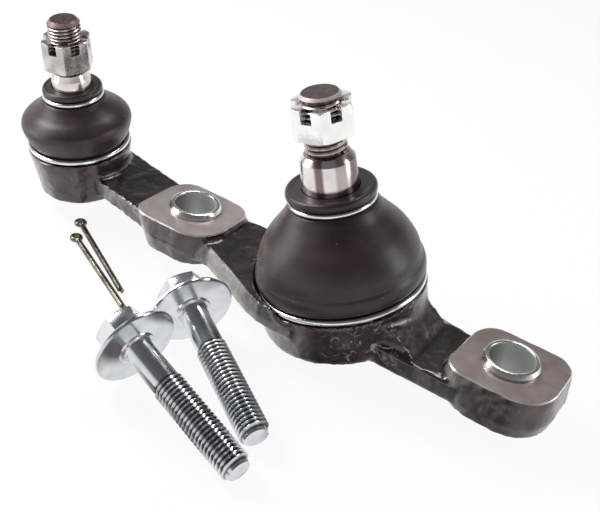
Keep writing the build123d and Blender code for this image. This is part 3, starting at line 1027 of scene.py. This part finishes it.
# ------------------------------------------------------------------ ball joints
@dataclass
class BallJoint:
    """Looks of one ball joint; heights are above the lower ring, along the stud.

    The crown, lip and lining are the boot's outlines: outside from foot to neck, above the neck, and inside.
    """

    name: str
    ball_r: float
    ball_z: float
    lower_ring_r: float
    lower_wire_r: float
    upper_ring_r: float
    upper_wire_r: float
    upper_ring_z: float
    neck_r: float
    taper_r: float
    taper_z: float
    taper_top: float
    shoulder_w: float
    shoulder_h: float
    thread_r: float
    pitch: float
    tip_z: float
    tip_r: float
    hole_r: float
    hole_z: float
    nut_turn: float
    crown: Outline
    lip: Outline
    lining: Outline
    nut_finish: Finish
    stud_finish: Finish
    chamfer_finish: Finish
    boot_gap: float = 0.3
    foot_z: float = -1.3
    foot_t: float = 2.4
    foot_top: float = 1.4
    grip: float = 1.6
    bend_margin: float = 2.0
    bore_r: float = 18.0
    neck_drop: float = 5.0
    thread_share: float = 0.6
    thread_lead: float = 0.9
    ball_flat: float = 0.93
    ball_steps: int = 24
    round_steps: int = 6
    segments: int = 128

    @property
    def plane(self) -> Matrix:
        """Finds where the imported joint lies.

        Returns:
            Its frame in metres: origin in the lower ring, Z along the stud.
        """
        joints = {j["name"]: j for j in FRAME["joints"]}
        tilt, spin = joints[f"{self.name}_tilt"], joints[f"{self.name}_stud_spin"]
        z = Vector(spin["axis"]).normalized()
        x = Vector(tilt["axis"]).normalized()
        return frame_at(Vector(tilt["pos_m"]) - z * self.ball_z * MM, x, z)

    def taper_at(self, height: float) -> float:
        """Radius of the 1:10 taper at a height."""
        return self.taper_r - (height - self.taper_z) / 20.0

    @property
    def core_r(self) -> float:
        """Radius of the stud under its thread."""
        return self.thread_r - self.thread_share * self.pitch

    @property
    def relief_z(self) -> float:
        """Height of the thread's foot, over the taper's shoulder."""
        return self.taper_top + self.shoulder_h

    @property
    def thread_end(self) -> float:
        """Height where the thread gives way to the chamfer of the stud's end."""
        return self.tip_z - (self.thread_r - self.tip_r)

    def boot_outline(self) -> list[tuple[float, float]]:
        """Draws the boot's wall: up its outside, over its lip and down its lining.

        Returns:
            Radius and height of each point, the last one again at the start.
        """
        foot_out = self.lower_ring_r - self.lower_wire_r - self.boot_gap
        foot_in = foot_out - self.foot_t
        neck_out = self.upper_ring_r - self.upper_wire_r - self.boot_gap
        groove = self.upper_wire_r + self.boot_gap
        top, bottom = self.upper_ring_z + groove, self.upper_ring_z - groove
        lip_top, grip = self.lip[-1][1], self.upper_ring_z - self.grip
        crown = [(foot_out + 0.5, self.foot_top + 0.05), *self.crown, (neck_out + 1.2, bottom - 0.1)]
        lip = [(neck_out + 1.0, top), *self.lip, (self.taper_at(lip_top) + self.boot_gap, lip_top)]
        return [(foot_out, self.foot_z), (foot_out, self.foot_top - 0.05),
                *curve_through(crown, self.round_steps), (neck_out, bottom), (neck_out, top),
                *curve_through(lip, self.round_steps), (self.taper_at(grip) + self.boot_gap, grip),
                *curve_through(self.lining, self.round_steps), (foot_in, self.foot_top),
                (foot_in, self.foot_z), (foot_out, self.foot_z)]

    def boot(self) -> bpy.types.Object:
        """Makes the rubber boot between the ring at its foot and the one at its neck.

        Returns:
            The boot.
        """
        piece = Bench.lathe(f"{self.name}_boot_rubber", self.boot_outline(), self.segments, closed=True)
        Bench.smooth(piece, 50.0)
        Bench.dress(piece, RUBBER)
        Bench.lay(piece, self.plane)
        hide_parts(f"{self.name}_boot")
        start = self.plane @ Vector((0, 0, self.bend_margin * MM))
        end = self.plane @ Vector((0, 0, (self.upper_ring_z - self.bend_margin) * MM))
        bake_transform(piece)
        return piece

    def pin_hole(self) -> bpy.types.Object:
        """Makes the cutter of the cross hole.

        Returns:
            The cutter, in the joint's frame.
        """
        Bench.clear()
        turn = math.radians(self.nut_turn + 90.0)
        bpy.ops.mesh.primitive_cylinder_add(
            vertices=32, radius=self.hole_r * MM, depth=self.thread_r * 4 * MM,
            location=(0, 0, self.hole_z * MM), rotation=(0, math.pi / 2, turn))
        return bpy.context.object

    def stud_outline(self) -> list[tuple[float, float]]:
        """Draws the stud: ball, neck, taper, shoulder, core of the thread and end chamfer.

        Returns:
            Radius and height of each point, from the flat under the ball upwards.
        """
        soft, run_out, tip_gap = 0.15, 0.6, 0.01
        flat_angle = math.acos(self.ball_flat)
        neck_angle = math.pi - math.asin(self.neck_r / self.ball_r)
        ball = []
        for k in range(self.ball_steps + 1):
            a = flat_angle + (neck_angle - flat_angle) * k / self.ball_steps
            ball.append((self.ball_r * math.sin(a), self.ball_z - self.ball_r * math.cos(a)))
        small_r = self.taper_at(self.taper_top)
        return [*ball, (self.neck_r, self.taper_z - self.neck_drop),
                (self.taper_r - soft, self.taper_z - soft), (self.taper_r, self.taper_z + 0.2),
                (small_r + 0.02, self.taper_top - 0.3), (small_r - 0.12, self.taper_top),
                (small_r - self.shoulder_w + soft, self.relief_z - 0.25), (self.core_r, self.relief_z + 0.1),
                (self.core_r, self.thread_end - run_out), (self.thread_r - 0.1, self.thread_end),
                (self.tip_r + 0.2, self.tip_z - soft), (self.tip_r, self.tip_z - tip_gap)]

    def stud(self) -> bpy.types.Object:
        """Makes the ball stud with its ground taper, rolled thread and pin hole.

        Returns:
            The stud.
        """
        piece = Bench.lathe(f"{self.name}_stud_steel", self.stud_outline(), 96)
        ridge = Bench.thread("ridge", self.thread_r, self.thread_share * self.pitch, self.pitch,
                             self.relief_z - self.thread_lead, self.thread_end)
        Bench.carve(piece, self.pin_hole())
        Bench.carve(ridge, self.pin_hole())
        place = self.plane
        rolled = ThreadedMetal.cut_in(THREAD, f"{self.name}_stud_thread", place, root_r=self.core_r,
                                      crest_r=self.thread_r, start=self.taper_top, end=self.thread_end)
        Bench.dress(piece, self.stud_finish)
        Bench.dress(ridge, rolled)
        core_foot, chamfer_foot, end = self.relief_z - 0.3, self.thread_end - 0.1, self.tip_z - 0.1
        Bench.dress_faces(piece, rolled, lambda c: core_foot < c.z < chamfer_foot)
        Bench.dress_faces(piece, self.chamfer_finish, lambda c: chamfer_foot <= c.z < end)
        Bench.dress_faces(piece, STUD_END, lambda c: c.z >= end)
        piece = Bench.join(f"{self.name}_stud_steel", [piece, ridge])
        Bench.smooth(piece, 30.0)
        Bench.lay(piece, place)
        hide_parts(f"{self.name}_ball_stud")
        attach(piece, f"{self.name}_stud")
        return piece

    def nut(self) -> bpy.types.Object:
        """Makes the castle nut with softened edges.

        Returns:
            The nut.
        """
        piece = Bench.copy_node(f"{self.name}_castle_nut", f"{self.name}_nut_zinc")
        Bench.soften(piece, 0.35, 3, 28.0)
        Bench.smooth(piece, 40.0)
        Bench.dress(piece, self.nut_finish)
        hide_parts(f"{self.name}_castle_nut")
        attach(piece, f"{self.name}_stud")
        return piece

    def inner_parts(self) -> None:
        """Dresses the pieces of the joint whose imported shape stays."""
        for part, finish in (("bearing_shell", ACETAL), ("pressure_disc", ACETAL), ("disc_spring", SPRING),
                             ("base_plug", PLUG), ("lower_ring", WIRE), ("upper_ring", WIRE)):
            Bench.dress_node(f"{self.name}_{part}", finish)

    def build(self) -> None:
        """Builds and dresses the whole joint."""
        self.inner_parts()
        for piece in (self.boot(), self.stud(), self.nut()):
            Bench.report(piece)


LARGE = BallJoint(
    "large", ball_r=15.0, ball_z=0.5, lower_ring_r=32.6, lower_wire_r=1.2,
    upper_ring_r=16.4, upper_wire_r=1.0, upper_ring_z=35.8,
    neck_r=9.5, taper_r=11.6, taper_z=30.0, taper_top=52.3, shoulder_w=1.9, shoulder_h=2.4,
    thread_r=8.0, pitch=2.0, tip_z=78.1, tip_r=6.75, hole_r=1.6, hole_z=73.2, nut_turn=-58.0,
    nut_finish=NUT, stud_finish=LARGE_STUD, chamfer_finish=CHAMFER,
    crown=((32.6, 1.9), (33.5, 3.0), (33.75, 5.0), (33.45, 7.4), (32.75, 8.9), (32.6, 9.5), (32.3, 10.6),
           (31.5, 14.0), (29.7, 18.0), (27.1, 22.0), (23.5, 26.0), (19.9, 30.0), (18.3, 32.6), (17.3, 34.0)),
    lip=((17.2, 37.6), (17.6, 38.6), (17.55, 39.6), (17.1, 40.4), (16.2, 40.75), (14.4, 40.45), (12.6, 40.4)),
    lining=((15.4, 30.8), (18.6, 27.6), (22.6, 23.4), (26.2, 18.6), (28.6, 13.6), (29.8, 8.0)))
SMALL = BallJoint(
    "small", ball_r=12.5, ball_z=-3.0, lower_ring_r=21.6, lower_wire_r=1.1,
    upper_ring_r=12.3, upper_wire_r=1.0, upper_ring_z=22.65,
    neck_r=7.4, taper_r=8.85, taper_z=20.0, taper_top=31.0, shoulder_w=1.2, shoulder_h=2.6,
    thread_r=7.0, pitch=1.5, tip_z=57.0, tip_r=5.4, hole_r=1.6, hole_z=52.5, nut_turn=-52.0,
    nut_finish=NUT_GREY, stud_finish=STUD, chamfer_finish=DARK_CHAMFER,
    crown=((21.2, 1.7), (22.1, 3.2), (22.7, 5.0), (23.4, 7.0), (24.0, 9.8), (23.2, 12.4), (20.7, 14.8),
           (17.6, 16.9), (14.9, 19.2), (13.5, 21.0)),
    lip=((12.7, 24.4), (12.9, 25.2), (12.6, 26.2), (11.9, 26.75), (10.6, 26.6), (9.6, 26.7)),
    lining=((11.2, 18.6), (13.8, 16.4), (17.4, 13.8), (20.2, 11.6), (21.2, 9.0), (20.6, 6.0)),
    bore_r=15.0, segments=112)


# ------------------------------------------------------------------ bolts
@dataclass
class FlangeBolt:
    """Looks of one flange bolt that lies on its flange's edge and on the end of its thread."""

    name: str
    middle: tuple[float, float]
    turn: float
    flange_r: float = 16.6
    flange_t: float = 1.8
    cone_t: float = 2.2
    head: float = 8.6
    across_flats: float = 17.0
    hex_turn: float = 12.0
    crown_slope: float = 0.42
    shank_r: float = 5.43
    shank: float = 19.0
    thread_r: float = 6.0
    pitch: float = 1.75
    thread_share: float = 0.61
    length: float = 62.0
    end_chamfer: float = 1.2

    @property
    def plane(self) -> Matrix:
        """Finds where the bolt lies, with its flange's edge and its thread's end on the floor.

        Returns:
            Its frame in metres: origin in the bearing face, Z along the thread.
        """
        tilt = math.atan2(self.flange_r - self.thread_r, self.length - self.end_chamfer)
        a = math.radians(self.turn)
        z = Vector((math.cos(a) * math.cos(tilt), math.sin(a) * math.cos(tilt), -math.sin(tilt)))
        x = Vector(UP).cross(z).normalized()
        half = self.length * math.cos(tilt) / 2
        origin = Vector((self.middle[0] - math.cos(a) * half, self.middle[1] - math.sin(a) * half,
                         self.flange_r * math.cos(tilt))) * MM
        return frame_at(origin, x, z)

    @property
    def head_foot(self) -> float:
        """Height where the hexagon leaves the flange's cone."""
        return -self.flange_t - self.cone_t

    def hexagon(self) -> bpy.types.Object:
        """Makes the chamfered hexagon head with its dimple.

        Returns:
            The head, in the bolt's frame.
        """
        Bench.clear()
        foot = self.head_foot
        top = foot - self.head
        corner = self.across_flats / math.sqrt(3)
        tall = self.head + 0.8
        bpy.ops.mesh.primitive_cylinder_add(
            vertices=6, radius=corner * MM, depth=tall * MM, location=(0, 0, (top + tall / 2) * MM),
            rotation=(0, 0, math.radians(self.hex_turn + 90.0)))
        head = bpy.context.object
        bpy.ops.object.transform_apply(location=True, rotation=True, scale=True)
        flat = self.across_flats / 2
        face, wide = flat * 0.98, corner + 0.3
        cap = Bench.lathe("cap", [(flat * 0.62, top + 1.1), (flat * 0.70, top + 0.1), (face, top),
                                  (wide, top + (wide - face) * self.crown_slope), (wide, foot + 2.0)])
        Bench.carve(head, cap, Cut.SHARED)
        Bench.soften(head, 0.3, 2, 25.0)
        return head

    @property
    def core_r(self) -> float:
        """Radius of the bolt under its thread."""
        return self.thread_r - self.thread_share * self.pitch

    def outline(self) -> list[tuple[float, float]]:
        """Draws what is turned: the cone under the hexagon, flange, fillet, shank, core and point.

        Returns:
            Radius and height of each point, from the hexagon to the thread's end.
        """
        flat, foot, back, run_out = self.across_flats / 2, self.head_foot, -self.flange_t, 0.6
        return [(flat + 0.1, foot - 0.3), (flat + 0.9, foot + 0.2),
                (self.flange_r - 1.2, back - 0.2), (self.flange_r - 0.3, back + 0.1),
                (self.flange_r, back + 0.5), (self.flange_r, -0.7),
                (self.flange_r - 0.35, -0.15), (self.flange_r - 1.0, 0.0),
                (self.shank_r + 2.4, 0.0), (self.shank_r + 1.9, 0.15),
                (self.shank_r + 1.6, 0.55), (self.shank_r + 0.5, 1.0), (self.shank_r, 2.0),
                (self.shank_r, self.shank - run_out), (self.core_r, self.shank + run_out),
                (self.core_r, self.length - 2.4), (self.core_r - 0.4, self.length - 0.4),
                (self.core_r - 1.2, self.length)]

    def build(self) -> bpy.types.Object:
        """Makes the whole bolt.

        Returns:
            The bolt.
        """
        piece = Bench.lathe(self.name, self.outline(), 96)
        ridge = Bench.thread("ridge", self.thread_r, self.thread_share * self.pitch, self.pitch,
                             self.shank + 0.1, self.length - 0.6)
        piece = Bench.join(f"{self.name}_zinc", [piece, ridge, self.hexagon()])
        place = self.plane
        Bench.dress(piece, ThreadedMetal.cut_in(
            BOLT, f"{self.name}_plating", place, root_r=self.core_r, crest_r=self.thread_r, start=self.shank,
            end=self.length - self.pitch, dirt=0.8))
        Bench.smooth(piece, 30.0)
        Bench.lay(piece, place)
        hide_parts(self.name)
        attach(piece, f"loose_{self.name}")
        Bench.report(piece)
        return piece


BOLTS = (FlangeBolt("front_bolt", (26.0, -53.496), -14.4), FlangeBolt("rear_bolt", (24.0, -29.896), -28.9))
PINS = ("front_split_pin", "rear_split_pin")


# ------------------------------------------------------------------ arm
@dataclass(frozen=True)
class Boss:
    """One boss: its axis, the underside of its sleeve and its milled face."""

    name: str
    x: float
    y: float
    bottom: float
    face: Finish

    @property
    def place(self) -> Matrix:
        """Frame of the boss: its origin on the floor, Z along its axis, in metres."""
        return Matrix.Translation(Vector((self.x, self.y, 0.0)) * MM)


@dataclass
class Arm:
    """Looks of the forging and its two sleeves; heights are above the floor.

    Each layer of relief has a name, the size of its clouds and its depth, always inwards.
    """

    bosses: tuple[Boss, ...] = (Boss("end", 108.7, 31.204, 8.615, END_FACE),
                                Boss("middle", -39.3, 31.204, 10.015, MIDDLE_FACE))
    face_z: float = 26.415
    edge: float = 0.5
    boss_reach: float = 27.0
    rim_z: float = 29.015
    rim_bevel: float = 1.3
    sleeve_r: float = 10.0
    collar_r: float = 11.2
    collar_sink: float = 0.5
    bore_r: float = 8.7
    voxel: float = 1.0
    raise_by: float = 2.0
    rim_margin: float = 3.0
    bore_margin: float = 1.0
    rim_foot: float = -2.2
    relief_fade: float = 3.0
    relief_layers: tuple[tuple[str, float, float], ...] = (("dents", 7.0, 0.6), ("scale", 2.6, 0.4))

    @property
    def seat(self) -> float:
        """Height of the seats under the sleeves' collars."""
        return self.face_z - self.collar_sink

    @property
    def cut_z(self) -> float:
        """Height where the milled faces' chamfers start."""
        return self.face_z - self.edge

    def sleeves(self) -> None:
        """Makes both sleeves with softened edges."""
        seat, soft = self.seat, 0.25
        for boss in self.bosses:
            outline = [(self.bore_r, boss.bottom), (self.sleeve_r, boss.bottom), (self.sleeve_r, seat),
                       (self.collar_r, seat), (self.collar_r, self.rim_z - self.rim_bevel - soft),
                       (self.collar_r - soft, self.rim_z - self.rim_bevel + soft * 0.6),
                       (self.sleeve_r + soft, self.rim_z - soft), (self.sleeve_r - 0.35, self.rim_z),
                       (self.bore_r + 0.75, self.rim_z), (self.bore_r + 0.3, self.rim_z - 0.15),
                       (self.bore_r, self.rim_z - 0.6), (self.bore_r, boss.bottom)]
            piece = Bench.lathe(f"{boss.name}_sleeve_steel", outline, 112, closed=True)
            Bench.smooth(piece, 25.0)
            Bench.dress(piece, SleeveSteel(f"{boss.name}_sleeve_finish", axis_xy=(boss.x, boss.y)))
            Bench.lay(piece, boss.place)
            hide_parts(f"{boss.name}_sleeve")
            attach(piece, "arm")
            Bench.report(piece)

    def over_boss(self, point: Vector, boss: Boss) -> bool:
        """Whether a point in millimetres lies over or under a boss."""
        return abs(point.x - boss.x) < self.boss_reach and abs(point.y - boss.y) < self.boss_reach

    def relief(self, piece: bpy.types.Object) -> None:
        """Gives the forging its shallow dents and scale, but none on its turned and milled surfaces.

        Args:
            piece: The remeshed forging.
        """
        joints = [(joint.plane.inverted(), joint.lower_ring_r + self.rim_margin,
                   joint.bore_r + self.bore_margin) for joint in (LARGE, SMALL)]
        group = piece.vertex_groups.new(name="forged")
        for vertex in piece.data.vertices:
            share = 1.0
            for inverse, rim_r, bore_r in joints:
                local = inverse @ vertex.co / MM
                radius = math.hypot(local.x, local.y)
                if radius < rim_r and local.z > self.rim_foot - self.relief_fade:
                    share = min(share, max(0.0, (self.rim_foot - local.z) / self.relief_fade))
                share = min(share, max(0.0, (radius - bore_r) / 2.0))
            if share > 0:
                group.add([vertex.index], share, "REPLACE")
        for name, size, depth in self.relief_layers:
            texture = bpy.data.textures.new(name, "CLOUDS")
            texture.noise_scale, texture.noise_depth = size * MM, 3
            Bench.apply(piece, "DISPLACE", texture=texture, texture_coords="LOCAL", mid_level=1.0,
                        strength=depth * MM, vertex_group=group.name)
            bpy.data.textures.remove(texture)
        piece.vertex_groups.clear()

    def blank(self) -> bpy.types.Object:
        """Makes the forging before it is machined: raised bosses without their bores.

        Returns:
            The blank.
        """
        piece = Bench.copy_node("arm_forging", "arm_forging_coat")
        Bench.choose(piece, lambda p: p.center.z / MM > self.face_z - 0.1 and any(
            self.over_boss(p.center / MM, boss) for boss in self.bosses))
        bpy.ops.transform.translate(value=(0, 0, self.raise_by * MM))
        bpy.ops.object.mode_set(mode="OBJECT")
        plug_r, plug_top = self.collar_r + 0.3, self.face_z + self.raise_by - 0.3
        for boss in self.bosses:
            plug = Bench.lathe("boss_plug", [(plug_r, boss.bottom + 0.05), (plug_r, plug_top)], 64)
            Bench.lay(plug, boss.place)
            Bench.carve(piece, plug, Cut.TOGETHER)
        Bench.apply(piece, "REMESH", mode="VOXEL", voxel_size=self.voxel * MM)
        return piece

    def mill(self, piece: bpy.types.Object, boss: Boss) -> None:
        """Cuts a boss level, chamfers its edge and bores it for its sleeve.

        Args:
            piece: The forging.
            boss: The boss.
        """
        low, many_sides = self.cut_z, 20
        Bench.choose(piece, lambda p: p.center.z / MM > low - 3.0 and self.over_boss(p.center / MM, boss))
        bpy.ops.mesh.bisect(plane_co=(0, 0, low * MM), plane_no=(0, 0, 1), use_fill=True, clear_outer=True)
        bpy.ops.object.mode_set(mode="OBJECT")
        Bench.choose(piece, lambda p: len(p.vertices) > many_sides and p.center.z / MM > low - 0.1
                     and self.over_boss(p.center / MM, boss))
        bpy.ops.mesh.inset(thickness=self.edge * MM, depth=self.edge * MM)
        bpy.ops.object.mode_set(mode="OBJECT")
        beyond, seat_r = 3.0, self.collar_r + 0.05
        outline = [(self.sleeve_r, boss.bottom - beyond), (self.sleeve_r, self.seat), (seat_r, self.seat),
                   (seat_r, self.face_z + beyond)]
        cutter = Bench.lathe("seat_cutter", outline, 112)
        Bench.lay(cutter, boss.place)
        Bench.carve(piece, cutter)

    def forging(self) -> bpy.types.Object:
        """Makes the forging: rough all over, milled on its bosses.

        Returns:
            The forging.
        """
        piece = self.blank()
        self.relief(piece)
        for boss in self.bosses:
            self.mill(piece, boss)
        Bench.smooth(piece, 38.0)
        Bench.dress(piece, FORGED_COAT)
        low = self.cut_z
        for boss in self.bosses:
            Bench.dress_faces(piece, boss.face,
                              lambda c, b=boss: c.z > self.face_z - 0.02 and self.over_boss(c, b))
            Bench.dress_faces(piece, FACE_EDGE,
                              lambda c, b=boss: low + 0.05 < c.z < self.face_z - 0.05 and self.over_boss(c, b)
                              and math.hypot(c.x - b.x, c.y - b.y) > self.collar_r + 1.0)
        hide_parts("arm_forging")
        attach(piece, "arm")
        Bench.report(piece)
        return piece

    def build(self) -> None:
        """Builds and dresses the arm."""
        self.forging()
        self.sleeves()


# ------------------------------------------------------------------ studio
@dataclass(frozen=True)
class SoftBox:
    """A rectangular lamp: its middle, width and height, power in watts and the point that it faces."""

    name: str
    place: Point
    size: tuple[float, float]
    power: float
    target: Point = (0.0, 20.0, 30.0)

    def hang(self) -> None:
        """Adds the lamp to the scene, out of the camera's sight."""
        data = bpy.data.lights.new(self.name, "AREA")
        data.shape = "RECTANGLE"
        data.size, data.size_y = self.size[0] * MM, self.size[1] * MM
        data.energy = self.power
        lamp = bpy.data.objects.new(self.name, data)
        lamp.visible_camera = False
        bpy.context.scene.collection.objects.link(lamp)
        lamp.location = Vector(self.place) * MM
        lamp.rotation_euler = (Vector(self.target) - Vector(self.place)).to_track_quat("-Z", "Y").to_euler()


@dataclass
class Studio:
    """White floor, soft lights and the camera.

    The floor's shades are dark patches that only reflections see, each a middle and a radius. The room's
    stops run from the horizon up.
    """

    camera_place: Point = (175.086, -263.954, 251.275)
    camera_turn: Point = (56.0057, -7.7433, 33.7378)
    lens: float = 60.0
    sensor: float = 36.0
    floor_size_m: float = 6.0
    floor_gap_m: float = 0.00005
    floor_glow: float = 0.92
    floor_gloss: float = 0.85
    floor_white: Colour = (0.90, 0.90, 0.90)
    floor_rough: float = 0.9
    floor_dim: Colour = (0.10, 0.082, 0.078)
    shade_fade: float = 0.6
    floor_shades: tuple[tuple[Point, float], ...] = (
        ((8.0, -74.0, 0.0), 17.0), ((32.0, -80.0, 0.0), 17.0), ((12.0, -48.0, 0.0), 12.0),
        ((34.0, -56.0, 0.0), 9.0), ((60.0, -12.0, 0.0), 24.0), ((102.0, -14.0, 0.0), 26.0))
    room_stops: tuple[tuple[float, Colour], ...] = (
        (0.0, (1.0, 1.0, 1.0)), (0.22, (0.85, 0.85, 0.85)), (0.42, (0.16, 0.16, 0.17)),
        (1.0, (0.10, 0.10, 0.11)))
    lamps: tuple[SoftBox, ...] = (
        SoftBox("key_box", (-500, -60, 520), (300, 300), 4.2),
        SoftBox("left_strip", (-268, -123, 112), (130, 220), 0.26, (25, 28, 50)),
        SoftBox("right_strip", (398, 220, 240), (130, 330), 0.55, (25, 28, 50)),
        SoftBox("back_strip", (-75, 266, 508), (260, 80), 0.7, (26, -53, 10)))

    def floor(self) -> None:
        """Lays the floor."""
        Bench.clear()
        bpy.ops.mesh.primitive_plane_add(size=self.floor_size_m, location=(0, 0, -self.floor_gap_m))
        plane = bpy.context.object
        plane.name = "studio_floor"
        recipe = Recipe("studio_white")
        path = recipe.add("ShaderNodeLightPath")
        camera = Level(recipe, path.outputs["Is Camera Ray"])
        seen = camera * self.floor_glow
        for kind in ("Is Glossy Ray", "Is Transmission Ray"):
            seen = seen.math("MAXIMUM", Level(recipe, path.outputs[kind]) * self.floor_gloss)
        shade: Level | float = 0.0
        for middle, radius in self.floor_shades:
            shade = recipe.near(middle, radius, radius * self.shade_fade).math("MAXIMUM", shade)
        tint = recipe.mix(shade * (1.0 - camera), (1.0, 1.0, 1.0), self.floor_dim)
        recipe.set(Base_Color=self.floor_white, Roughness=self.floor_rough, Specular_IOR_Level=0.0)
        glow = recipe.add("ShaderNodeEmission", values={"Color": tint, "Strength": 1.0})
        surfaces = {0: seen, 1: recipe.shader.outputs[0], 2: glow.outputs[0]}
        blend = recipe.add("ShaderNodeMixShader", values=surfaces)
        recipe.tree.links.new(blend.outputs[0], recipe.output.inputs["Surface"])
        plane.data.materials.append(recipe.material)

    def world(self) -> None:
        """Sets the room: pale walls and a darker ceiling."""
        world = bpy.data.worlds.new("studio_room")
        bpy.context.scene.world = world
        graph = Graph(world)
        place = graph.add("ShaderNodeTexCoord")
        split = graph.add("ShaderNodeSeparateXYZ", values={0: place.outputs["Generated"]})
        ramp = graph.add("ShaderNodeValToRGB", {"stops": self.room_stops}, {0: split.outputs["Z"]})
        room = graph.add("ShaderNodeBackground", values={"Color": ramp.outputs[0]})
        graph.add("ShaderNodeOutputWorld", values={0: room.outputs[0]})

    def camera(self) -> None:
        """Places the camera."""
        data = bpy.data.cameras.new("camera")
        data.lens, data.sensor_width, data.sensor_fit = self.lens, self.sensor, "HORIZONTAL"
        data.clip_start, data.clip_end = 0.01, 20.0
        camera = bpy.data.objects.new("camera", data)
        bpy.context.scene.collection.objects.link(camera)
        camera.location = Vector(self.camera_place) * MM
        camera.rotation_euler = [math.radians(a) for a in self.camera_turn]
        bpy.context.scene.camera = camera

    def build(self) -> None:
        """Sets up the whole studio."""
        bpy.context.scene.view_settings.view_transform = "Standard"
        self.camera()
        self.floor()
        self.world()
        for lamp in self.lamps:
            lamp.hang()


def corners(bounds: Iterable[Iterable[float]]) -> list[list[float]]:
    """Turns a box into plain lists of numbers."""
    return [[float(value) for value in corner] for corner in bounds]


def main() -> None:
    """Builds the whole scene."""
    logging.basicConfig(level=logging.INFO, format="%(message)s")
    FRAME.update(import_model())
    Studio().build()
    Arm().build()
    for joint in (LARGE, SMALL):
        joint.build()
    for bolt in BOLTS:
        bolt.build()
    for pin in PINS:
        Bench.dress_node(pin, PIN)


if __name__ == "__main__":
    main()
